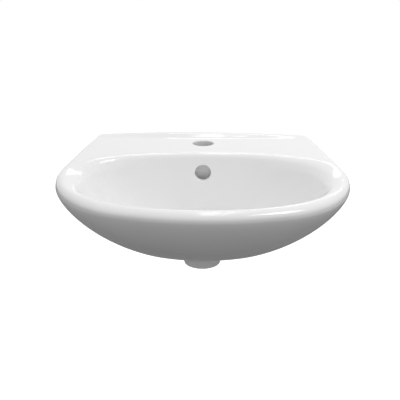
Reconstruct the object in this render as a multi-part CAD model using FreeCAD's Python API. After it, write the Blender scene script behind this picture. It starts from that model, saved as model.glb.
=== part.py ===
import FreeCAD, Part
import math
import os

Vec = FreeCAD.Vector

# Wall hung wash basin in vitreous china, with the kit that fixes it to the wall.
# X runs across the basin, Y runs into the wall, Z runs up.
# The wall's surface is the plane Y = 0 and the basin's front points to -Y.
# Z = 0 is the height of the two fixing bolts. All sizes are in mm.

# --- the china body, as seen from above ---
WIDTH = 450.0             # widest point of the body
DEPTH = 350.0             # wall to front rim
SIDE_FLARE = 10.5         # degrees that each straight side opens towards the front
CORNER_R = 138.0          # radius that joins a side to the front
FRONT_R = 460.0           # radius of the front

# --- the china body, as seen from the side ---
DECK_TO_FIXING = 62.0     # deck surface above the fixing bolts
BELLY_DROP = 141.0        # deck surface to the flat underside
FRONT_FALL = 18.0         # how far the front rim lies below the deck
FALL_START = 60.0         # distance from the wall where the deck begins to fall
FALL_POWER = 1.5
RIM_ROLL = 9.0            # radius of the outer edge of the rim
JOIN_DROP = 13.0          # deck surface to where the belly is at its widest
RIM_LEAN = 3.0            # the rim's side leans in by this much on its way up from there
BELLY_TOP_POWER = 1.38    # roundness of the belly next to the rim
BELLY_FOOT_POWER = 1.7    # roundness of the belly next to the underside
FOOT_SIDE_LAND = 7.0      # flat underside left beside the outlet's boss
FOOT_FRONT_LAND = 13.5    # and in front of it
FOOT_FLARE = 0.0
FOOT_CORNER_R = 30.0
FOOT_FRONT_R = 60.0

# --- the raised ledge along the wall ---
LEDGE_HEIGHT = 5.5        # at the middle, fading to nothing at the ends
LEDGE_DEPTH = 10.0        # full height from the wall to here
LEDGE_FOOT = 26.0         # and down on the deck from here on

# --- the bowl ---
SIDE_RIM_WIDTH = 22.0     # bowl's end to the side of the body
BOWL_BACK = 112.5         # distance from the wall to the bowl's back edge
RIM_WIDTH = 19.0          # bowl's front edge to the front of the body
BOWL_MIDDLE = 225.0       # distance from the wall to the widest point of the bowl
FLOOR = 19.0              # seat round the outlet to the flat underside
BOWL_SIDE_POWER = 2.1     # roundness of the bowl's ends
END_FLARE = 20.0          # how much the ends open out at the deck's level
END_FLARE_SHARE = 0.2     # share of the bowl's depth over which they do
BOWL_FRONT_TOP_POWER = 1.7
BOWL_FRONT_FOOT_POWER = 2.2
BOWL_BACK_TOP_POWER = 1.2
BOWL_BACK_FOOT_POWER = 1.6
BACK_SQUARENESS = 2.4     # 2 is an ellipse, more is squarer
BACK_SQUARENESS_BELOW = 0.8
FRONT_SQUARENESS = 2.2
INNER_EDGE_R = 8.0        # rounding where the rim turns into the bowl
WALL = 11.0               # thickness of the china

# --- outlet ---
OUTLET_FROM_WALL = 170.0
OUTLET_R = 23.0
RECESS_R = 32.5           # recess for a waste fitting's flange
RECESS_DEPTH = 3.0
SEAT_LAND = 3.5           # flat ground left round the recess
BOSS_WALL = 6.5           # china round the outlet, at the lower end of its boss
BOSS_TAPER = 3.0          # the boss is this much larger in radius at its upper end
BOSS_LENGTH = 30.0        # flat underside to the lower end of the boss
BOSS_EDGE_R = 2.5

# --- tap hole and overflow ---
TAP_FROM_WALL = 55.0
TAP_R = 17.5
TAP_EDGE_R = 2.0
DECK_THICKNESS = 14.0
OVERFLOW_R = 13.0
OVERFLOW_DROP = 35.0      # deck surface to the centre of the overflow hole
OVERFLOW_EDGE_R = 2.0
DUCT_HALF_WIDTH = 13.0
DUCT_DEPTH = 10.0
DUCT_SKIN = 8.0
DUCT_FRONT_GAP = 6.5      # china between the duct and the bowl's back edge
DUCT_ABOVE = 2.0          # duct's upper end above the overflow hole
DUCT_OUT_HALF_WIDTH = 10.0
DUCT_OUT_HEIGHT = 7.0
DUCT_OUT_COVER = 5.0      # china between the seat's level and the duct's way out

# --- back of the body ---
BACK_PLATE = 12.0         # thickness of the china that lies on the wall
BACK_DROP = 95.0          # deck surface to the lower edge of the back
BELLY_BACK = 80.0         # distance from the wall to the back end of the underside
HOLLOW_FRONT = 200.0      # distance from the wall to which the hollow reaches at the ends

# --- fixing kit ---
FIXING_SPACING = 200.0
BOLT_R = 5.0
SCREW_R = 4.0
BOLT_FREE_END = 6.0       # bolt left over in front of the nut
BOLT_CHAMFER = 1.0
SCREW_START = 9.0         # wall surface to where the wood screw part starts
SCREW_END = 70.0
SCREW_POINT = 10.0
BUSH_R = 7.6
BUSH_CLEARANCE = 0.4      # round the bush in the china, on the radius
BOLT_CLEARANCE = 0.2      # round the bolt in bush and washer, on the radius
BUSH_FLANGE_R = 15.0
BUSH_FLANGE = 3.0
BUSH_SHORT = 1.0          # the bush ends this far from the wall
WASHER_R = 10.0
WASHER_THICKNESS = 2.0
NUT_FLATS = 17.0
NUT_HEIGHT = 8.0
PLUG_R = 7.0
PLUG_START = 1.0
PLUG_LENGTH = 75.0
PLUG_SLOT = 1.2
PLUG_SLOT_START = 0.4     # share of the plug's length that is not split

# --- derived ---
RIM_FLARE = math.radians(SIDE_FLARE)
RIM_CENTRE_X = WIDTH / 2 - CORNER_R
RIM_CENTRE_Y = -DEPTH + FRONT_R - math.sqrt((FRONT_R - CORNER_R) ** 2 - RIM_CENTRE_X ** 2)
RIM_SIDE_X = RIM_CENTRE_X + CORNER_R * math.cos(RIM_FLARE)
RIM_SIDE_Y = RIM_CENTRE_Y + CORNER_R * math.sin(RIM_FLARE)
RIM_BACK_HALF_WIDTH = RIM_SIDE_X + RIM_SIDE_Y * math.tan(RIM_FLARE)
FALL_LENGTH = DEPTH - RIM_ROLL - FALL_START
BOSS_R = OUTLET_R + BOSS_WALL
BOSS_TOP_R = BOSS_R + BOSS_TAPER
BOSS_BOTTOM = BELLY_DROP + BOSS_LENGTH
BOSS_BLEND = FOOT_SIDE_LAND - 1.0
FOOT_HALF_WIDTH = BOSS_TOP_R + FOOT_SIDE_LAND
FOOT_DEPTH = OUTLET_FROM_WALL + BOSS_TOP_R + FOOT_FRONT_LAND
BOWL_HALF_WIDTH = WIDTH / 2 - SIDE_RIM_WIDTH
BOWL_FRONT = DEPTH - RIM_WIDTH
BOWL_DEPTH = BELLY_DROP - FLOOR
SEAT_R = RECESS_R + SEAT_LAND
DUCT_FRONT = BOWL_BACK - DUCT_FRONT_GAP
SEAT_Y = -OUTLET_FROM_WALL
BOWL_BACK_FOOT = OUTLET_FROM_WALL - SEAT_R
BOWL_FRONT_FOOT = OUTLET_FROM_WALL + SEAT_R
OUTLINE_STEPS = 20        # points on half an outline
BOWL_POINTS = 36          # points on an outline of the bowl
BOWL_STEPS = 10           # outlines from the deck to the seat
HOLLOW_STEPS = 8
OUTLET_GROUND_R = SEAT_R + WALL + 9.0    # no hollow this near the outlet's axis
BELLY_STEPS = 12          # outlines from the rim to the underside
LEAN_STEPS = 5            # outlines from there up past the deck
BEHIND = 5.0              # outlines go on this far behind the wall's surface


def outline(back_half_width, flare, corner_r, front_r, depth):
    """Right half of the body's outline, as straight and round runs from the front
    middle to just behind the wall's surface. A run is its length and a function of
    the way along it."""
    side = Vec(math.sin(flare), -math.cos(flare), 0)
    inward = Vec(-math.cos(flare), -math.sin(flare), 0)
    back_corner = Vec(back_half_width, 0, 0)
    front_centre = Vec(0, -depth + front_r, 0)
    start = back_corner + inward * corner_r
    gap = start - front_centre
    along = gap.dot(side)
    reach = math.sqrt(max(along ** 2 - gap.dot(gap) + (front_r - corner_r) ** 2, 0.0))
    side_length = reach - along
    centre = start + side * side_length
    from_front = centre - front_centre
    turn = math.atan2(from_front.x, -from_front.y)

    def front(way):
        angle = way / front_r
        return front_centre + Vec(math.sin(angle), -math.cos(angle), 0) * front_r

    def corner(way):
        angle = turn + way / corner_r
        return centre + Vec(math.sin(angle), -math.cos(angle), 0) * corner_r

    def straight(way):
        return back_corner + side * (side_length - way)

    corner_length = corner_r * (math.pi / 2 + flare - turn)
    return [(front_r * turn, front), (corner_length, corner), (side_length + BEHIND, straight)]


def section(runs, lift):
    """Closed wire of an outline, its mirror image and the straight back between them.
    lift(y) gives the height."""
    total = sum(length for length, place in runs)
    right = []
    for i in range(OUTLINE_STEPS + 1):
        way = total * i / OUTLINE_STEPS
        for length, place in runs:
            if way <= length or place is runs[-1][1]:
                break
            way -= length
        point = place(way)
        right.append(Vec(point.x, point.y, lift(point.y)))
    left = [Vec(-p.x, p.y, p.z) for p in right[1:]]
    curve = Part.BSplineCurve()
    points = left[::-1] + right
    curve.interpolate(Points=points, Parameters=[float(i) for i in range(len(points))])
    return Part.Wire([curve.toShape(), Part.makeLine(points[-1], points[0])])


def mix(foot, rim, share):
    return foot + (rim - foot) * share


def belly_outline(share, inset=0.0):
    """Outline of the belly. share is 1 at the rim and 0 at the underside."""
    return outline(
        mix(FOOT_HALF_WIDTH, RIM_BACK_HALF_WIDTH, share) - inset,
        mix(math.radians(FOOT_FLARE), RIM_FLARE, share),
        mix(FOOT_CORNER_R, CORNER_R, share) - inset,
        mix(FOOT_FRONT_R, FRONT_R, share) - inset,
        mix(FOOT_DEPTH, DEPTH, share) - inset,
    )


def belly_share(drop):
    """Share of the rim's outline left at a level, from 1 at the rim to 0 at the foot."""
    level = (drop - JOIN_DROP) / (BELLY_DROP - JOIN_DROP)
    level = min(max(level, 0.0), 1.0)
    return (1 - level ** BELLY_TOP_POWER) ** (1 / BELLY_FOOT_POWER)


def make_belly():
    """The whole body as a block, up to past the deck."""
    slope = FRONT_FALL / DEPTH
    wires = []
    for i in range(LEAN_STEPS, 0, -1):
        rise = JOIN_DROP * i / 3
        inset = RIM_LEAN * (i / 3) ** 2
        wires.append(section(belly_outline(1.0, inset), lambda y: rise - JOIN_DROP + slope * y))
    for i in range(BELLY_STEPS + 1):
        turn = math.pi / 2 * i / BELLY_STEPS
        level = math.sin(turn) ** (2 / BELLY_TOP_POWER)
        share = abs(math.cos(turn)) ** (2 / BELLY_FOOT_POWER)
        base = -JOIN_DROP - level * (BELLY_DROP - JOIN_DROP)
        tilt = slope * (1 - level)
        wires.append(section(belly_outline(share), lambda y: base + tilt * y))
    belly = Part.makeLoft(wires, True, False)
    behind = box(-WIDTH, WIDTH, 0, 2 * BEHIND, -BELLY_DROP - 1, BELLY_DROP)
    return belly.cut(behind)


def smooth(t):
    t = min(max(t, 0.0), 1.0)
    return t * t * (3 - 2 * t)


def deck_height(x, y):
    """Height of the china's upper surface, from the level of the deck."""
    fall = max((-y - FALL_START) / FALL_LENGTH, 0.0)
    ledge = LEDGE_HEIGHT * (1 - (x / RIM_BACK_HALF_WIDTH) ** 2)
    rise = smooth((y + LEDGE_FOOT) / (LEDGE_FOOT - LEDGE_DEPTH))
    return ledge * rise - FRONT_FALL * fall ** FALL_POWER


def make_space_above():
    """Everything above the deck, to be taken off the body."""
    spare = 20.0
    across = [(WIDTH / 2 + spare) * i / 4 for i in range(-4, 5)]
    ledge_end = -LEDGE_FOOT - spare / 2
    near = [spare + (ledge_end - spare) * i / 14 for i in range(15)]
    far = [ledge_end + (-DEPTH - spare - ledge_end) * i / 16 for i in range(1, 17)]
    rows = [[Vec(x, y, deck_height(x, y)) for y in near + far] for x in across]
    surface = Part.BSplineSurface()
    surface.interpolate(rows)
    return surface.toShape().extrude(Vec(0, 0, 2 * (JOIN_DROP + FRONT_FALL + LEDGE_HEIGHT)))


def bowl_section(level, grow):
    """Closed curve round the bowl. level is 0 at the deck and 1 at the seat, and grow
    moves the whole bowl outwards, for the china's far side."""
    below = max(level, 0.0)
    side = (1 - level) ** (1 / BOWL_SIDE_POWER)
    front = (1 - below ** BOWL_FRONT_TOP_POWER) ** (1 / BOWL_FRONT_FOOT_POWER)
    back = (1 - below ** BOWL_BACK_TOP_POWER) ** (1 / BOWL_BACK_FOOT_POWER)
    share = min(side, 1.0)
    flare = END_FLARE * max(1 - level / END_FLARE_SHARE, 0.0) ** 2
    half_width = mix(SEAT_R, BOWL_HALF_WIDTH, side) + flare + grow
    middle = -mix(OUTLET_FROM_WALL, BOWL_MIDDLE, share)
    to_back = grow - middle - mix(BOWL_BACK_FOOT, BOWL_BACK, back)
    to_front = grow + middle + mix(BOWL_FRONT_FOOT, BOWL_FRONT, front)
    back_power = mix(2.0, BACK_SQUARENESS, share)
    back_power += 4 * BACK_SQUARENESS_BELOW * share * (1 - share)
    front_power = mix(2.0, FRONT_SQUARENESS, share)
    height = -level * (BOWL_DEPTH + grow)
    points = []
    for i in range(BOWL_POINTS):
        turn = 2 * math.pi * i / BOWL_POINTS
        behind = 2 * i <= BOWL_POINTS
        power = back_power if behind else front_power
        x = half_width * math.cos(turn)
        y = (to_back if behind else to_front) * math.sin(turn)
        scale = (abs(math.cos(turn)) ** power + abs(math.sin(turn)) ** power) ** (-1 / power)
        points.append(Vec(x * scale, middle + y * scale, height))
    curve = Part.BSplineCurve()
    curve.interpolate(Points=points, PeriodicFlag=True)
    return Part.Wire([curve.toShape()])


def make_bowl(grow=0.0):
    levels = [-0.3, -0.15]
    for i in range(BOWL_STEPS + 1):
        levels.append(math.sin(math.pi / 2 * i / BOWL_STEPS) ** 1.5)
    return Part.makeLoft([bowl_section(level, grow) for level in levels], True, False)


def box(x0, x1, y0, y1, z0, z1):
    return Part.makeBox(x1 - x0, y1 - y0, z1 - z0, Vec(x0, y0, z0))


def rod(radius, start, length, direction):
    return Part.makeCylinder(radius, length, start, direction)


def prism(points, reach):
    """Solid with the same YZ outline over its whole length, reach to each side of X = 0."""
    corners = [Vec(-reach, y, z) for y, z in points]
    return Part.Face(Part.makePolygon(corners + corners[:1])).extrude(Vec(2 * reach, 0, 0))


def make_hollow():
    """The hollow between the back plate, the body's sides and the bowl."""
    wires = []
    bottom = BELLY_DROP - WALL
    for i in range(HOLLOW_STEPS + 1):
        turn = math.pi / 2 * i / HOLLOW_STEPS
        drop = DECK_THICKNESS + (bottom - DECK_THICKNESS) * math.sin(turn)
        outline_there = belly_outline(belly_share(drop + WALL / 2), WALL)
        wires.append(section(outline_there, lambda y: -drop))
    inside = Part.makeLoft(wires, True, False)
    reach = box(-WIDTH, WIDTH, -HOLLOW_FRONT, -BACK_PLATE, -BELLY_DROP, 0)
    ground = rod(OUTLET_GROUND_R, Vec(0, SEAT_Y, -BOSS_BOTTOM), BOSS_BOTTOM, Vec(0, 0, 1))
    hollow = inside.common(reach).cut(make_bowl(WALL))
    return hollow.cut(make_duct_walls()).cut(ground)


def make_duct_walls():
    """China round the overflow duct, on the back of the bowl."""
    side = DUCT_HALF_WIDTH + DUCT_SKIN
    back = -DUCT_FRONT + DUCT_DEPTH + DUCT_SKIN
    return box(-side, side, -BOWL_MIDDLE, back, -BELLY_DROP, 0)


def make_duct():
    """The way of the water from the overflow hole down to the outlet."""
    upper = -(OVERFLOW_DROP - OVERFLOW_R - DUCT_ABOVE)
    out_top = -(BOWL_DEPTH + DUCT_OUT_COVER)
    lower = out_top - DUCT_OUT_HEIGHT
    back = -DUCT_FRONT + DUCT_DEPTH
    down = box(-DUCT_HALF_WIDTH, DUCT_HALF_WIDTH, -DUCT_FRONT, back, lower, upper)
    across = box(-DUCT_OUT_HALF_WIDTH, DUCT_OUT_HALF_WIDTH, SEAT_Y, back, lower, out_top)
    mouth = Vec(0, -BOWL_BACK - OVERFLOW_R, -OVERFLOW_DROP)
    hole = rod(OVERFLOW_R, mouth, OVERFLOW_R + BOWL_BACK - DUCT_FRONT + 1, Vec(0, 1, 0))
    return down.fuse(across).fuse(hole)


def make_boss():
    length = BOSS_BOTTOM - BOWL_DEPTH - RECESS_DEPTH
    start = Vec(0, SEAT_Y, -BOSS_BOTTOM)
    taper = BOSS_TAPER * length / BOSS_LENGTH
    return Part.makeCone(BOSS_R, BOSS_R + taper, length, start, Vec(0, 0, 1))


def edges_where(shape, test):
    return [edge for edge in shape.Edges if test(edge)]


def in_box(edge, x, y0, y1, z0, z1):
    """True where the edge lies within x to each side of the middle, y0 to y1 and z0 to z1."""
    b = edge.BoundBox
    return abs(b.XMin) < x and abs(b.XMax) < x and y0 < b.YMin and b.YMax < y1 \
        and z0 < b.ZMin and b.ZMax < z1


def make_upper_body():
    """Belly, rim and deck, with the bowl in it and both edges of the rim rounded."""
    body = make_belly().cut(make_space_above()).removeSplitter().Solids[0]
    rim = edges_where(body, lambda e: e.BoundBox.YMin < -BOWL_FRONT
                      and e.BoundBox.ZMax > -RIM_ROLL)
    body = body.makeFillet(RIM_ROLL, rim)
    body = body.cut(make_bowl()).Solids[0]
    inner = edges_where(body, lambda e: e.Length > 2 * BOWL_HALF_WIDTH and in_box(
        e, WIDTH / 2 - RIM_ROLL, -BOWL_FRONT - 1, -BOWL_BACK + 1, -FRONT_FALL, LEDGE_HEIGHT))
    return body.makeFillet(INNER_EDGE_R, inner)


def cut_holes(body):
    """Outlet with its recess, tap hole, overflow with its duct, and fixing holes."""
    up = Vec(0, 0, 1)
    body = body.cut(make_duct())
    seat = Vec(0, SEAT_Y, -BOWL_DEPTH - RECESS_DEPTH)
    body = body.cut(rod(RECESS_R, seat, 2 * RECESS_DEPTH, up))
    body = body.cut(rod(OUTLET_R, Vec(0, SEAT_Y, -BOSS_BOTTOM - 1), BOSS_BOTTOM, up))
    deck_underside = Vec(0, -TAP_FROM_WALL, -DECK_THICKNESS - 1)
    body = body.cut(rod(TAP_R, deck_underside, 2 * DECK_THICKNESS, up))
    for side in (-1, 1):
        start = Vec(side * FIXING_SPACING / 2, 1, -DECK_TO_FIXING)
        hole = rod(BUSH_R + BUSH_CLEARANCE, start, BACK_PLATE + 2, Vec(0, -1, 0))
        body = body.cut(hole)
    return body


def round_holes(body):
    """Soft edges on the tap hole, the overflow hole and the outlet boss."""
    tap = edges_where(body, lambda e: in_box(
        e, TAP_R + 1, -TAP_FROM_WALL - TAP_R - 1, -TAP_FROM_WALL + TAP_R + 1,
        -DECK_THICKNESS / 2, LEDGE_HEIGHT))
    body = body.makeFillet(TAP_EDGE_R, tap)
    overflow = edges_where(body, lambda e: e.Length > OVERFLOW_R / 2 and in_box(
        e, OVERFLOW_R + 1, -BOWL_BACK - OVERFLOW_R, -BOWL_BACK + 1,
        -OVERFLOW_DROP - OVERFLOW_R - 1, -OVERFLOW_DROP + OVERFLOW_R + 1)
        and e.BoundBox.YMax < -DUCT_FRONT - OVERFLOW_EDGE_R)
    body = body.makeFillet(OVERFLOW_EDGE_R, overflow)
    reach = BOSS_TOP_R + 1
    boss_top = edges_where(body, lambda e: e.Length > math.pi * BOSS_R and in_box(
        e, reach, SEAT_Y - reach, SEAT_Y + reach, -BELLY_DROP - 1, -BELLY_DROP + 1))
    body = body.makeFillet(BOSS_BLEND, boss_top)
    boss_end = edges_where(body, lambda e: e.Length > 2 * math.pi * BOSS_R - 1 and in_box(
        e, reach, SEAT_Y - reach, SEAT_Y + reach, -BOSS_BOTTOM - 1, -BOSS_BOTTOM + 1))
    return body.makeFillet(BOSS_EDGE_R, boss_end)


def make_basin_body():
    body = make_upper_body().cut(make_hollow())
    under_back = prism([(1, -BACK_DROP), (0, -BACK_DROP), (-BELLY_BACK, -BELLY_DROP),
                        (-BELLY_BACK, -BOSS_BOTTOM), (1, -BOSS_BOTTOM)], WIDTH / 2)
    body = body.cut(under_back).fuse(make_boss())
    return round_holes(cut_holes(body))


def make_fixing(side):
    """Bolt, plug, bush, washer and nut of one fixing point. side is -1 or 1."""
    x = side * FIXING_SPACING / 2
    into_wall = Vec(0, 1, 0)
    flange_face = -BACK_PLATE - BUSH_FLANGE
    washer_face = flange_face - WASHER_THICKNESS
    nut_face = washer_face - NUT_HEIGHT
    bolt_end = nut_face - BOLT_FREE_END
    loose = BOLT_R + BOLT_CLEARANCE

    bolt = rod(BOLT_R, Vec(x, bolt_end, 0), SCREW_START - bolt_end, into_wall)
    end_edge = edges_where(bolt, lambda e: e.BoundBox.YMax < bolt_end + BOLT_CHAMFER)
    bolt = bolt.makeChamfer(BOLT_CHAMFER, end_edge)
    bolt = bolt.fuse(rod(SCREW_R, Vec(x, SCREW_START, 0), SCREW_END - SCREW_START, into_wall))
    point = Part.makeCone(SCREW_R, SCREW_R / 8, SCREW_POINT, Vec(x, SCREW_END, 0), into_wall)
    bolt = bolt.fuse(point)

    plug = rod(PLUG_R, Vec(x, PLUG_START, 0), PLUG_LENGTH, into_wall)
    plug = plug.cut(rod(SCREW_R, Vec(x, PLUG_START, 0), PLUG_LENGTH, into_wall))
    plug = plug.cut(rod(BOLT_R, Vec(x, PLUG_START, 0), SCREW_START - PLUG_START, into_wall))
    slot_start = PLUG_START + PLUG_LENGTH * PLUG_SLOT_START
    slot = box(x - PLUG_R, x + PLUG_R, slot_start, PLUG_START + PLUG_LENGTH,
               -PLUG_SLOT / 2, PLUG_SLOT / 2)
    plug = plug.cut(slot)

    bush = rod(BUSH_R, Vec(x, -BACK_PLATE, 0), BACK_PLATE - BUSH_SHORT, into_wall)
    bush = bush.fuse(rod(BUSH_FLANGE_R, Vec(x, flange_face, 0), BUSH_FLANGE, into_wall))
    bush = bush.cut(rod(loose, Vec(x, flange_face, 0), BACK_PLATE + BUSH_FLANGE, into_wall))

    washer = rod(WASHER_R, Vec(x, washer_face, 0), WASHER_THICKNESS, into_wall)
    washer = washer.cut(rod(loose, Vec(x, washer_face, 0), WASHER_THICKNESS, into_wall))

    corners = []
    corner_r = NUT_FLATS / math.sqrt(3)
    for i in range(7):
        turn = math.radians(60 * i)
        corners.append(Vec(x + corner_r * math.cos(turn), nut_face, corner_r * math.sin(turn)))
    nut = Part.Face(Part.makePolygon(corners)).extrude(into_wall * NUT_HEIGHT)
    lead = NUT_FLATS / 2 + NUT_HEIGHT * math.sqrt(3)
    blunt = Part.makeCone(NUT_FLATS / 2, lead, NUT_HEIGHT, Vec(x, nut_face, 0), into_wall)
    nut = nut.common(blunt)
    nut = nut.cut(rod(BOLT_R, Vec(x, nut_face, 0), NUT_HEIGHT, into_wall))
    return {"hanger_bolt": bolt, "wall_plug": plug, "flange_bush": bush,
            "washer": washer, "hex_nut": nut}


def save(name, shape):
    if shape.ShapeType == "Compound" and len(shape.Solids) == 1:
        shape = shape.Solids[0]
    shape.exportStep("parts/" + name + ".step")
    print(name, "valid" if shape.isValid() else "NOT VALID", len(shape.Solids),
          round(shape.Volume / 1000, 2), "cm3")


os.makedirs("parts", exist_ok=True)
basin = make_basin_body()
basin.translate(Vec(0, 0, DECK_TO_FIXING))
save("basin_body", basin)
for side, word in ((-1, "left_"), (1, "right_")):
    for name, shape in make_fixing(side).items():
        save(word + name, shape.removeSplitter())
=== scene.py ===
import math

import bpy
import numpy as np
from mathutils import Matrix, Vector


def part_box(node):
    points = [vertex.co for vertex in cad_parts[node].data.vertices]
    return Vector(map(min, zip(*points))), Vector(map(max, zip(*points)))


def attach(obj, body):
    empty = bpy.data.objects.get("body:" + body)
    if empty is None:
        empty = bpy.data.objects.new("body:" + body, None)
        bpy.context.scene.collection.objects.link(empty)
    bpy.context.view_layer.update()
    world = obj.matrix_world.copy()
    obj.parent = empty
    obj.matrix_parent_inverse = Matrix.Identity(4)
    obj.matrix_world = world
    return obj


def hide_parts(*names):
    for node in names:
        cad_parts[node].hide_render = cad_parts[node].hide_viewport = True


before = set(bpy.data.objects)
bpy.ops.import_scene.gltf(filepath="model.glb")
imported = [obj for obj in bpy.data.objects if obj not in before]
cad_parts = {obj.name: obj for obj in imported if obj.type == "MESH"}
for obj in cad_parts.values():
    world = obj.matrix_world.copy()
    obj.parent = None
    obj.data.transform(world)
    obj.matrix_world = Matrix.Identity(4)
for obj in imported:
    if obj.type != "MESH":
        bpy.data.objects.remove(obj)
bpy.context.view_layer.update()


# Wall hung wash basin. The frame's units are metres: X across, Y into the wall, Z up.
# The wall is the plane Y = 0, and Z = 0 is the height of the fixing bolts.
# The china is a field: negative in it, positive outside it, about the distance to its
# skin. Heights in the field are measured from the deck's surface.

# --- the china body ---
WIDTH = 0.450
DEPTH = 0.350
SIDE_FLARE = math.radians(10.5)
CORNER_R = 0.138
FRONT_R = 0.460
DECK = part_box("basin_body")[0][2] + 0.171   # deck's surface above the fixing bolts
BELLY_DROP = 0.141
FRONT_FALL = 0.018
FALL_START = 0.060
FALL_POWER = 1.5
RIM_ROLL = 0.009
JOIN_DROP = 0.013
RIM_LEAN = 0.003
BELLY_TOP_POWER = 1.38
BELLY_FOOT_POWER = 1.7
FOOT_HALF_WIDTH = 0.0395
FOOT_DEPTH = 0.216
FOOT_CORNER_R = 0.030
FOOT_FRONT_R = 0.060
LEDGE_HEIGHT = 0.0055
LEDGE_DEPTH = 0.010
LEDGE_FOOT = 0.026

# --- the bowl ---
BOWL_HALF_WIDTH = 0.203
BOWL_BACK = 0.1125
BOWL_FRONT = 0.331
BOWL_MIDDLE = 0.225
BOWL_DEPTH = 0.122
BOWL_SIDE_POWER = 2.1
END_FLARE = 0.020
END_FLARE_SHARE = 0.2
BOWL_FRONT_TOP_POWER = 1.7
BOWL_FRONT_FOOT_POWER = 2.2
BOWL_BACK_TOP_POWER = 1.2
BOWL_BACK_FOOT_POWER = 1.6
BACK_SQUARENESS = 2.4
BACK_SQUARENESS_BELOW = 0.8
FRONT_SQUARENESS = 2.2
INNER_EDGE_R = 0.008
WALL = 0.011

# --- outlet, tap hole, overflow and back ---
OUTLET_Y = -0.170
OUTLET_R = 0.023
SEAT_R = 0.036
RECESS_R = 0.0325
RECESS_DEPTH = 0.003
BOSS_R = 0.0295
BOSS_TAPER = 0.003
BOSS_BOTTOM = 0.171
BOSS_BLEND = 0.006
BOSS_EDGE_R = 0.0025
TAP_Y = -0.055
TAP_R = 0.0175
DECK_THICKNESS = 0.014
OVERFLOW_R = 0.013
OVERFLOW_DROP = 0.035
DUCT_FRONT = 0.106
DUCT_BACK = 0.096
DUCT_HALF_WIDTH = 0.013
DUCT_TOP = 0.020
DUCT_OUT_HALF_WIDTH = 0.010
DUCT_OUT_TOP = 0.127
DUCT_BOTTOM = 0.134
DUCT_SKIN = 0.008
BACK_PLATE = 0.012
BACK_DROP = 0.095
BELLY_BACK = 0.080
HOLLOW_FRONT = 0.200
OUTLET_GROUND_R = 0.056
FIXING_X = 0.100
FIXING_HOLE_R = 0.008
HOLE_EDGE_R = 0.002
SOFT_EDGE_R = 0.0015

# --- derived ---
RIM_CENTRE_X = WIDTH / 2 - CORNER_R
RIM_CENTRE_Y = -DEPTH + FRONT_R - math.sqrt((FRONT_R - CORNER_R) ** 2 - RIM_CENTRE_X ** 2)
RIM_SIDE_X = RIM_CENTRE_X + CORNER_R * math.cos(SIDE_FLARE)
RIM_SIDE_Y = RIM_CENTRE_Y + CORNER_R * math.sin(SIDE_FLARE)
RIM_BACK_HALF_WIDTH = RIM_SIDE_X + RIM_SIDE_Y * math.tan(SIDE_FLARE)
FALL_LENGTH = DEPTH - RIM_ROLL - FALL_START

# --- how the skin is found ---
PITCH = 0.002      # spacing of the grid
GRID_START = 1.3                            # grid's margin in pitches: no layer on a flat face
ROUNDS = 5                                  # moves onto the skin, eased between them
EASE = 0.5                                  # part of the way to the neighbours' middle
NUDGE = 0.0002                              # step for slopes
SHARE_STEP = 0.002                          # step for how the belly's outline changes
LONGEST_WAY_UP = 0.020                      # longest step for the bowl's slope
ALMOST_ONE = 1 - 1e-6                       # deepest level of belly and bowl
DEEPEST_LEAN = 0.97                         # deepest level at which the belly's lean is taken
LEAST_SLOPE_SQUARED = 0.2                   # keeps a step towards the skin short
LOWEST_SLOPE = 0.6                          # the field gives the normal where its slope lies
HIGHEST_SLOPE = 1.5                         # between these two


def mix(foot, rim, share):
    return foot + (rim - foot) * share


def common(a, b, r):
    """What lies in both fields, with their shared edge rounded."""
    return np.minimum(np.maximum(a, b), -r) + np.hypot(np.maximum(a + r, 0), np.maximum(b + r, 0))


def joined(a, b, r):
    return -common(-a, -b, r)


def without(a, b, r):
    return common(a, -b, r)


def block(x, y, z, x1, y0, y1, z0, z1):
    """Field of a block from -x1 to x1, y0 to y1 and z0 to z1."""
    a = np.abs(x) - x1
    b = np.abs(y - (y0 + y1) / 2) - (y1 - y0) / 2
    c = np.abs(z - (z0 + z1) / 2) - (z1 - z0) / 2
    outside = np.sqrt(np.maximum(a, 0) ** 2 + np.maximum(b, 0) ** 2 + np.maximum(c, 0) ** 2)
    return outside + np.minimum(np.maximum(np.maximum(a, b), c), 0)


def belly_outline(x, y, share):
    """Distance in the plane to the outline that the belly has at a share."""
    flare = SIDE_FLARE * share
    corner_r = mix(FOOT_CORNER_R, CORNER_R, share)
    front_r = mix(FOOT_FRONT_R, FRONT_R, share)
    back_x = mix(FOOT_HALF_WIDTH, RIM_BACK_HALF_WIDTH, share)
    front_y = front_r - mix(FOOT_DEPTH, DEPTH, share)
    sin, cos = np.sin(flare), np.cos(flare)
    start_x, start_y = back_x - cos * corner_r, -sin * corner_r
    along = start_x * sin - (start_y - front_y) * cos
    gap = start_x ** 2 + (start_y - front_y) ** 2
    side = np.sqrt(np.maximum(along ** 2 - gap + (front_r - corner_r) ** 2, 0)) - along
    centre_x, centre_y = start_x + sin * side, start_y - cos * side
    turn = np.arctan2(centre_x, front_y - centre_y)
    x = np.abs(x)
    angle = np.arctan2(x - centre_x, centre_y - y)
    corner = np.hypot(x - centre_x, y - centre_y) - corner_r
    front = np.hypot(x, y - front_y) - front_r
    straight = (x - back_x) * cos + y * sin
    in_corner = (angle > turn) & (angle < math.pi / 2 + flare)
    in_front = (angle <= turn) & (y < centre_y)
    return np.where(in_corner, corner, np.where(in_front, front, straight))


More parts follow.
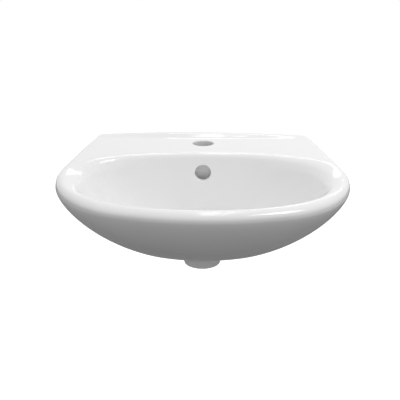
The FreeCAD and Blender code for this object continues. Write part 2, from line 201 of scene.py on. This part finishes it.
def belly_side(x, y, level):
    """Distance in the plane to the belly's side, and how far that side leans. The level
    is 0 where the belly is widest and 1 at the underside."""
    level = np.clip(level, 1e-6, ALMOST_ONE)
    share = (1 - level ** BELLY_TOP_POWER) ** (1 / BELLY_FOOT_POWER)
    distance = belly_outline(x, y, share)
    level = np.minimum(level, DEEPEST_LEAN)
    rate = -BELLY_TOP_POWER / BELLY_FOOT_POWER * level ** (BELLY_TOP_POWER - 1)
    rate = rate * (1 - level ** BELLY_TOP_POWER) ** (1 / BELLY_FOOT_POWER - 1)
    change = (belly_outline(x, y, share + SHARE_STEP) - distance) / SHARE_STEP
    return distance, change * rate / (BELLY_DROP - JOIN_DROP)


def belly(x, y, z):
    """The outer form without the boss. Over the widest line its side leans in a little."""
    slope = FRONT_FALL / DEPTH
    level = (-JOIN_DROP + slope * y - z) / (BELLY_DROP - JOIN_DROP + slope * y)
    distance, lean = belly_side(x, y, level)
    rise = np.maximum(z + JOIN_DROP - slope * y, 0)
    distance = distance + RIM_LEAN * (rise / JOIN_DROP) ** 2
    lean = np.where(rise > 0, 2 * RIM_LEAN * rise / JOIN_DROP ** 2, lean)
    return np.maximum(distance / np.sqrt(1 + lean ** 2), -z - BELLY_DROP)


def inside_belly(x, y, z):
    """The belly less the thickness of its china, from the deck's underside down."""
    level = (-JOIN_DROP - z + WALL / 2) / (BELLY_DROP - JOIN_DROP)
    distance, lean = belly_side(x, y, level)
    inside = (distance + WALL) / np.sqrt(1 + lean ** 2)
    inside = common(inside, -z - BELLY_DROP + WALL, WALL / 2)
    return common(inside, z + DECK_THICKNESS, WALL / 2)


def deck(x, y, z):
    """The space under the deck's surface, with its fall to the front and its back ledge."""
    fall = np.maximum((-y - FALL_START) / FALL_LENGTH, 0)
    t = np.clip((y + LEDGE_FOOT) / (LEDGE_FOOT - LEDGE_DEPTH), 0, 1)
    ledge = LEDGE_HEIGHT * (1 - (x / RIM_BACK_HALF_WIDTH) ** 2)
    height = ledge * t * t * (3 - 2 * t) - FRONT_FALL * fall ** FALL_POWER
    slope = FRONT_FALL * FALL_POWER * np.sqrt(fall) / FALL_LENGTH
    slope += ledge * 6 * t * (1 - t) / (LEDGE_FOOT - LEDGE_DEPTH)
    return (z - height) / np.sqrt(1 + slope ** 2)


def bowl_size(x, y, z):
    """How far outside the bowl's oval a point lies, seen from above at its height."""
    level = np.minimum(-z / BOWL_DEPTH, ALMOST_ONE)
    below = np.maximum(level, 0)
    side = (1 - level) ** (1 / BOWL_SIDE_POWER)
    front = (1 - below ** BOWL_FRONT_TOP_POWER) ** (1 / BOWL_FRONT_FOOT_POWER)
    back = (1 - below ** BOWL_BACK_TOP_POWER) ** (1 / BOWL_BACK_FOOT_POWER)
    share = np.minimum(side, 1)
    flare = END_FLARE * np.maximum(1 - level / END_FLARE_SHARE, 0) ** 2
    half_width = mix(SEAT_R, BOWL_HALF_WIDTH, side) + flare
    middle = mix(OUTLET_Y, -BOWL_MIDDLE, share)
    to_back = -middle - mix(-OUTLET_Y - SEAT_R, BOWL_BACK, back)
    to_front = middle + mix(-OUTLET_Y + SEAT_R, BOWL_FRONT, front)
    back_power = mix(2.0, BACK_SQUARENESS, share)
    back_power = back_power + 4 * BACK_SQUARENESS_BELOW * share * (1 - share)
    front_power = mix(2.0, FRONT_SQUARENESS, share)
    behind = y > middle
    power = np.where(behind, back_power, front_power)
    reach = np.where(behind, to_back, to_front)
    u = np.abs(x) / half_width
    v = np.abs(y - middle) / reach
    size = (u ** power + v ** power + 1e-12) ** (1 / power)
    return (size - 1) * np.minimum(half_width, reach)


def bowl(x, y, z):
    """The bowl's space. The farther out, the longer the way up over which the slope is
    taken, because the slope right beside the bowl's floor is very steep."""
    value = bowl_size(x, y, z)
    up = np.clip(value / 2, NUDGE, LONGEST_WAY_UP)
    slope = (((bowl_size(x + NUDGE, y, z) - value) / NUDGE) ** 2
             + ((bowl_size(x, y + NUDGE, z) - value) / NUDGE) ** 2
             + ((bowl_size(x, y, z + up) - value) / up) ** 2)
    distance = value / np.sqrt(np.maximum(slope, 1e-3))
    return np.maximum(distance, -z - BOWL_DEPTH)


def post(x, y, centre_x, centre_y, r):
    return np.hypot(x - centre_x, y - centre_y) - r


def china(x, y, z):
    """The whole china body."""
    body = common(belly(x, y, z), deck(x, y, z), RIM_ROLL)
    tilt = math.atan2(BELLY_DROP - BACK_DROP, BELLY_BACK)
    under_back = (-z - BACK_DROP) * math.cos(tilt) + y * math.sin(tilt)
    body = common(body, under_back, HOLE_EDGE_R)
    body = common(body, y, SOFT_EDGE_R)

    boss = post(x, y, 0, OUTLET_Y, BOSS_R)
    boss = boss - BOSS_TAPER * (z + BOSS_BOTTOM) / (BOSS_BOTTOM - BELLY_DROP)
    boss = np.maximum(common(boss, -z - BOSS_BOTTOM, BOSS_EDGE_R), z + BOWL_DEPTH + RECESS_DEPTH)
    body = joined(body, boss, BOSS_BLEND)
    body = without(body, bowl(x, y, z), INNER_EDGE_R)

    inner_r = WALL / 2
    hollow = common(inside_belly(x, y, z), y + BACK_PLATE, inner_r)
    hollow = common(hollow, -y - HOLLOW_FRONT, inner_r)
    hollow = without(hollow, bowl(x, y, z) - WALL, inner_r)
    duct_walls = block(x, y, z, DUCT_HALF_WIDTH + DUCT_SKIN, -BOWL_MIDDLE,
                       -DUCT_BACK + DUCT_SKIN, -BELLY_DROP, 0.01)
    hollow = without(hollow, duct_walls, inner_r)
    hollow = without(hollow, post(x, y, 0, OUTLET_Y, OUTLET_GROUND_R), inner_r)
    body = without(body, hollow, HOLE_EDGE_R)

    duct = block(x, y, z, DUCT_HALF_WIDTH, -DUCT_FRONT, -DUCT_BACK, -DUCT_BOTTOM, -DUCT_TOP)
    way_out = block(x, y, z, DUCT_OUT_HALF_WIDTH, OUTLET_Y, -DUCT_BACK, -DUCT_BOTTOM,
                    -DUCT_OUT_TOP)
    body = without(body, np.minimum(duct, way_out), SOFT_EDGE_R)
    overflow = post(x, z, 0, -OVERFLOW_DROP, OVERFLOW_R)
    overflow = np.maximum(overflow, np.abs(y + BOWL_BACK) - OVERFLOW_R)
    body = without(body, overflow, HOLE_EDGE_R)

    recess = np.maximum(post(x, y, 0, OUTLET_Y, RECESS_R), -z - BOWL_DEPTH - RECESS_DEPTH)
    body = without(body, recess, SOFT_EDGE_R)
    body = without(body, post(x, y, 0, OUTLET_Y, OUTLET_R), SOFT_EDGE_R)
    tap = np.maximum(post(x, y, 0, TAP_Y, TAP_R), -z - 2 * DECK_THICKNESS)
    body = without(body, tap, HOLE_EDGE_R)
    fixing = np.maximum(post(np.abs(x), z, FIXING_X, -DECK, FIXING_HOLE_R), -y - 2 * BACK_PLATE)
    return without(body, fixing, SOFT_EDGE_R / 2)


def net_of_field(field, low, high, pitch):
    """Closed mesh of quads round the negative part of a field that is the same on both
    sides of X = 0: a vertex in each cell that the skin crosses, and a quad across each
    grid edge that it crosses."""
    half = np.arange(pitch / 2, high[0] + pitch, pitch)
    ys = np.arange(low[1] - pitch * GRID_START, high[1] + 2 * pitch, pitch)
    zs = np.arange(low[2] - pitch * GRID_START, high[2] + 2 * pitch, pitch)
    right = np.empty((len(half), len(ys), len(zs)))
    for i in range(0, len(half), 16):
        x, y, z = np.meshgrid(half[i:i + 16], ys, zs, indexing="ij")
        right[i:i + 16] = field(x, y, z)
    value = np.concatenate([right[::-1], right])
    xs = np.concatenate([-half[::-1], half])
    inside = value < 0
    cells = tuple(n - 1 for n in value.shape)
    total = np.zeros(cells + (3,))
    count = np.zeros(cells)
    crossings = []
    for axis in range(3):
        a = [slice(None)] * 3
        b = [slice(None)] * 3
        a[axis] = slice(0, -1)
        b[axis] = slice(1, None)
        crossed = inside[tuple(a)] != inside[tuple(b)]
        index = np.argwhere(crossed)
        va = value[tuple(a)][crossed]
        vb = value[tuple(b)][crossed]
        place = index.astype(float)
        place[:, axis] += va / (va - vb)
        others = [k for k in range(3) if k != axis]
        for du in (0, 1):
            for dv in (0, 1):
                cell = index.copy()
                cell[:, others[0]] -= du
                cell[:, others[1]] -= dv
                np.add.at(total, tuple(cell.T), place)
                np.add.at(count, tuple(cell.T), 1)
        crossings.append((axis, others, index, va < 0))
    active = count > 0
    number = np.full(cells, -1)
    number[active] = np.arange(active.sum())
    grid_place = total[active] / count[active][:, None]
    origin = np.array([xs[0], ys[0], zs[0]])
    points = origin + grid_place * pitch
    quads = []
    for axis, others, index, starts_inside in crossings:
        ring = []
        for du, dv in ((1, 1), (0, 1), (0, 0), (1, 0)):
            cell = index.copy()
            cell[:, others[0]] -= du
            cell[:, others[1]] -= dv
            ring.append(number[tuple(cell.T)])
        ring = np.stack(ring, axis=1)
        turned = starts_inside if axis != 1 else ~starts_inside
        ring[~turned] = ring[~turned][:, ::-1]
        quads.append(ring)
    return points, np.concatenate(quads)


def slopes(field, p):
    """The field at the points and its slope along each axis."""
    x, y, z = p.T
    value = field(x, y, z)
    grad = np.stack([field(x + NUDGE, y, z) - field(x - NUDGE, y, z),
                     field(x, y + NUDGE, z) - field(x, y - NUDGE, z),
                     field(x, y, z + NUDGE) - field(x, y, z - NUDGE)], axis=1) / (2 * NUDGE)
    return value, grad


def settle(field, points, quads, rounds, pitch):
    """Evens out the net and brings it onto the skin. Returns the points and normals. A
    normal of zero leaves it to the mesh, as on creases and where the slope is far from 1."""
    ends = np.concatenate([quads[:, [0, 1]], quads[:, [1, 2]], quads[:, [2, 3]], quads[:, [3, 0]]])
    ends = np.concatenate([ends, ends[:, ::-1]])
    neighbours = np.bincount(ends[:, 0], minlength=len(points))[:, None]
    for step in range(rounds):
        if step < rounds - 1:
            mean = np.stack([np.bincount(ends[:, 0], points[ends[:, 1], k], len(points))
                             for k in range(3)], axis=1) / neighbours
            points = points + EASE * (mean - points)
        value, grad = slopes(field, points)
        steep = np.maximum((grad ** 2).sum(axis=1), LEAST_SLOPE_SQUARED)
        move = np.clip(value / steep, -pitch, pitch)
        points = points - move[:, None] * grad
    value, grad = slopes(field, points)
    size = np.linalg.norm(grad, axis=1)
    normals = grad / np.maximum(size, 1e-9)[:, None]
    normals[(size < LOWEST_SLOPE) | (size > HIGHEST_SLOPE)] = 0
    return points, normals


def mesh_object(name, points, quads, normals=None):
    mesh = bpy.data.meshes.new(name)
    mesh.vertices.add(len(points))
    mesh.vertices.foreach_set("co", points.astype(np.float32).ravel())
    mesh.loops.add(quads.size)
    mesh.loops.foreach_set("vertex_index", quads.astype(np.int32).ravel())
    mesh.polygons.add(len(quads))
    mesh.polygons.foreach_set("loop_start", np.arange(len(quads), dtype=np.int32) * 4)
    mesh.update(calc_edges=True)
    mesh.validate()
    mesh.polygons.foreach_set("use_smooth", np.ones(len(mesh.polygons), dtype=bool))
    if normals is not None:
        mesh.normals_split_custom_set_from_vertices(normals.astype(np.float32))
    piece = bpy.data.objects.new(name, mesh)
    bpy.context.scene.collection.objects.link(piece)
    return piece


def make_china():
    low = (-WIDTH / 2, -DEPTH, -BOSS_BOTTOM)
    high = (WIDTH / 2, 0.0, LEDGE_HEIGHT)
    points, quads = net_of_field(china, low, high, PITCH)
    points, normals = settle(china, points, quads, ROUNDS, PITCH)
    points[:, 2] += DECK
    return mesh_object("china_basin", points, quads, normals)


# --- materials ---
def new_material(name):
    material = bpy.data.materials.new(name)
    material.use_nodes = True
    nodes = material.node_tree.nodes
    return material, nodes, material.node_tree.links, nodes["Principled BSDF"]


def china_material():
    """White glaze: a clear, faintly wavy gloss over fine grained china."""
    material, nodes, links, shader = new_material("white_glaze")
    shader.inputs["IOR"].default_value = 1.52
    place = nodes.new("ShaderNodeTexCoord")

    tone = nodes.new("ShaderNodeTexNoise")
    tone.inputs["Scale"].default_value = 9.0
    tone.inputs["Detail"].default_value = 3.0
    links.new(place.outputs["Object"], tone.inputs["Vector"])
    colour = nodes.new("ShaderNodeMix")
    colour.data_type = "RGBA"
    colour.inputs["A"].default_value = (0.875, 0.877, 0.875, 1)
    colour.inputs["B"].default_value = (0.895, 0.895, 0.893, 1)
    links.new(tone.outputs["Fac"], colour.inputs["Factor"])
    links.new(colour.outputs["Result"], shader.inputs["Base Color"])

    gloss = nodes.new("ShaderNodeMapRange")
    gloss.inputs["To Min"].default_value = 0.06
    gloss.inputs["To Max"].default_value = 0.11
    links.new(tone.outputs["Fac"], gloss.inputs["Value"])
    links.new(gloss.outputs["Result"], shader.inputs["Roughness"])

    wave = nodes.new("ShaderNodeTexNoise")
    wave.inputs["Scale"].default_value = 26.0
    wave.inputs["Detail"].default_value = 1.0
    links.new(place.outputs["Object"], wave.inputs["Vector"])
    peel = nodes.new("ShaderNodeTexNoise")
    peel.inputs["Scale"].default_value = 240.0
    links.new(place.outputs["Object"], peel.inputs["Vector"])
    both = nodes.new("ShaderNodeMath")
    both.operation = "MULTIPLY_ADD"
    both.inputs[1].default_value = 0.04
    links.new(peel.outputs["Fac"], both.inputs[0])
    links.new(wave.outputs["Fac"], both.inputs[2])
    bump = nodes.new("ShaderNodeBump")
    bump.inputs["Strength"].default_value = 0.35
    bump.inputs["Distance"].default_value = 0.0012
    links.new(both.outputs["Value"], bump.inputs["Height"])
    links.new(bump.outputs["Normal"], shader.inputs["Normal"])
    return material


def simple_material(name, colour, metallic, roughness):
    """A plain material whose colour and gloss vary with a fine grain."""
    material, nodes, links, shader = new_material(name)
    place = nodes.new("ShaderNodeTexCoord")
    grain = nodes.new("ShaderNodeTexNoise")
    grain.inputs["Scale"].default_value = 400.0
    links.new(place.outputs["Object"], grain.inputs["Vector"])
    tint = nodes.new("ShaderNodeMix")
    tint.data_type = "RGBA"
    tint.inputs["A"].default_value = (*[c * 0.92 for c in colour], 1)
    tint.inputs["B"].default_value = (*colour, 1)
    links.new(grain.outputs["Fac"], tint.inputs["Factor"])
    links.new(tint.outputs["Result"], shader.inputs["Base Color"])
    rough = nodes.new("ShaderNodeMapRange")
    rough.inputs["To Min"].default_value = roughness * 0.8
    rough.inputs["To Max"].default_value = roughness * 1.2
    links.new(grain.outputs["Fac"], rough.inputs["Value"])
    links.new(rough.outputs["Result"], shader.inputs["Roughness"])
    shader.inputs["Metallic"].default_value = metallic
    return material


def dress(piece, material):
    piece.data.materials.clear()
    piece.data.materials.append(material)


def dress_node(name, material):
    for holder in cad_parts[name].material_slots:
        holder.material = material


# --- camera: the photograph is 400 pixels wide, with the wall 1.28 m away ---
CAMERA_DISTANCE = 1.2829
CAMERA_ABOVE_DECK = 0.3427
CAMERA_PITCH = 0.3492
CAMERA_ROLL = math.radians(0.41)
FOCAL_PIXELS = 740.2
MIDDLE_PIXEL = 202.6
IMAGE_PIXELS = 400.0
SENSOR = 36.0


def make_camera():
    data = bpy.data.cameras.new("camera")
    data.sensor_width = SENSOR
    data.lens = FOCAL_PIXELS * SENSOR / IMAGE_PIXELS
    data.shift_x = -(MIDDLE_PIXEL - IMAGE_PIXELS / 2) / IMAGE_PIXELS
    camera = bpy.data.objects.new("camera", data)
    camera.location = (0, -CAMERA_DISTANCE, DECK + CAMERA_ABOVE_DECK)
    camera.rotation_mode = "XYZ"
    aim = Vector((0, math.cos(CAMERA_PITCH), -math.sin(CAMERA_PITCH)))
    turn = aim.to_track_quat("-Z", "Y").to_matrix().to_4x4()
    roll = Matrix.Rotation(CAMERA_ROLL, 4, "Z")
    camera.matrix_world = Matrix.Translation(camera.location) @ turn @ roll
    bpy.context.scene.collection.objects.link(camera)
    bpy.context.scene.camera = camera


# --- stage ---
FLOOR_Z = -0.75
FLOOR_DIFFUSE = 0.16        # the floor's colour as a reflector of light onto the basin
FLOOR_IN_GLOSS = 0.30       # and as the glaze mirrors it
FLOOR_LIFT = 0.50           # brings the floor that is seen up to the white of the background
WORLD_LIGHT = 0.62          # the surroundings as a light; where seen or mirrored they are 1
FLOOR_HALF_SIZE = 6.0
MIDDLE = (0, -DEPTH / 2, DECK)
TUBE_Y = 0.2
TUBE_Z = 2.4
TUBE_LENGTH = 2.0
LAMPS = [                   # name, place, what it is aimed at, size, watts
    ("key", (0.80, -0.75, 1.55), MIDDLE, (0.6, 0.6), 8),
    ("back_window", (0.45, 1.5, DECK + 1.15), MIDDLE, (1.3, 0.35), 3.2),
    ("left_tube", (0.05, TUBE_Y, TUBE_Z), (0.05, -DEPTH / 2, DECK), (0.15, TUBE_LENGTH), 4.0),
    ("right_tube", (0.225, TUBE_Y, TUBE_Z), (0.225, -DEPTH / 2, DECK), (0.085, TUBE_LENGTH), 2.3),
]


def make_floor():
    mesh = bpy.data.meshes.new("floor")
    size = FLOOR_HALF_SIZE
    corners = [(-size, -size, FLOOR_Z), (size, -size, FLOOR_Z), (size, size, FLOOR_Z),
               (-size, size, FLOOR_Z)]
    mesh.from_pydata(corners, [], [(0, 1, 2, 3)])
    floor = bpy.data.objects.new("floor", mesh)
    bpy.context.scene.collection.objects.link(floor)
    material, nodes, links, shader = new_material("floor_paint")
    shader.inputs["Roughness"].default_value = 1.0
    shader.inputs["Specular IOR Level"].default_value = 0.0
    path = nodes.new("ShaderNodeLightPath")
    seen = nodes.new("ShaderNodeMath")
    seen.operation = "MAXIMUM"
    links.new(path.outputs["Is Glossy Ray"], seen.inputs[0])
    links.new(path.outputs["Is Transmission Ray"], seen.inputs[1])
    mirrored = nodes.new("ShaderNodeMix")
    mirrored.data_type = "RGBA"
    mirrored.inputs["A"].default_value = (FLOOR_DIFFUSE, FLOOR_DIFFUSE, FLOOR_DIFFUSE, 1)
    mirrored.inputs["B"].default_value = (FLOOR_IN_GLOSS, FLOOR_IN_GLOSS, FLOOR_IN_GLOSS, 1)
    links.new(seen.outputs["Value"], mirrored.inputs["Factor"])
    colour = nodes.new("ShaderNodeMix")
    colour.data_type = "RGBA"
    colour.inputs["B"].default_value = (1.0, 1.0, 1.0, 1)
    links.new(path.outputs["Is Camera Ray"], colour.inputs["Factor"])
    links.new(mirrored.outputs["Result"], colour.inputs["A"])
    links.new(colour.outputs["Result"], shader.inputs["Base Color"])
    shader.inputs["Emission Color"].default_value = (1.0, 1.0, 1.0, 1)
    lift = nodes.new("ShaderNodeMath")
    lift.operation = "MULTIPLY"
    lift.inputs[1].default_value = FLOOR_LIFT
    links.new(path.outputs["Is Camera Ray"], lift.inputs[0])
    links.new(lift.outputs["Value"], shader.inputs["Emission Strength"])
    dress(floor, material)


def make_world():
    world = bpy.data.worlds.new("studio")
    bpy.context.scene.world = world
    world.use_nodes = True
    nodes, links = world.node_tree.nodes, world.node_tree.links
    background = nodes["Background"]
    path = nodes.new("ShaderNodeLightPath")
    mirrored = nodes.new("ShaderNodeMath")
    mirrored.operation = "MAXIMUM"
    links.new(path.outputs["Is Glossy Ray"], mirrored.inputs[0])
    links.new(path.outputs["Is Transmission Ray"], mirrored.inputs[1])
    seen = nodes.new("ShaderNodeMath")
    seen.operation = "MAXIMUM"
    links.new(path.outputs["Is Camera Ray"], seen.inputs[0])
    links.new(mirrored.outputs["Value"], seen.inputs[1])
    level = nodes.new("ShaderNodeMapRange")
    level.inputs["To Min"].default_value = WORLD_LIGHT
    level.inputs["To Max"].default_value = 1.0
    links.new(seen.outputs["Value"], level.inputs["Value"])
    links.new(level.outputs["Result"], background.inputs["Strength"])
    background.inputs["Color"].default_value = (1, 1, 1, 1)


def softbox(name, place, aim, size, power):
    data = bpy.data.lights.new(name, "AREA")
    data.shape = "RECTANGLE"
    data.size, data.size_y = size
    data.energy = power
    lamp = bpy.data.objects.new(name, data)
    lamp.location = place
    lamp.rotation_euler = (Vector(aim) - Vector(place)).to_track_quat("-Z", "Y").to_euler()
    bpy.context.scene.collection.objects.link(lamp)


body = make_china()
dress(body, china_material())
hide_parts("basin_body")
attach(body, "root")

steel = simple_material("zinc_plated_steel", (0.72, 0.72, 0.74), 1.0, 0.3)
nylon = simple_material("grey_nylon", (0.62, 0.62, 0.60), 0.0, 0.5)
bush_plastic = simple_material("white_plastic", (0.85, 0.85, 0.83), 0.0, 0.4)
for side in ("left", "right"):
    for node, material in (("hanger_bolt", steel), ("washer", steel), ("hex_nut", steel),
                           ("wall_plug", nylon), ("flange_bush", bush_plastic)):
        dress_node(side + "_" + node, material)

make_floor()
make_world()
for lamp in LAMPS:
    softbox(*lamp)
make_camera()

bpy.context.scene.view_settings.view_transform = "Standard"
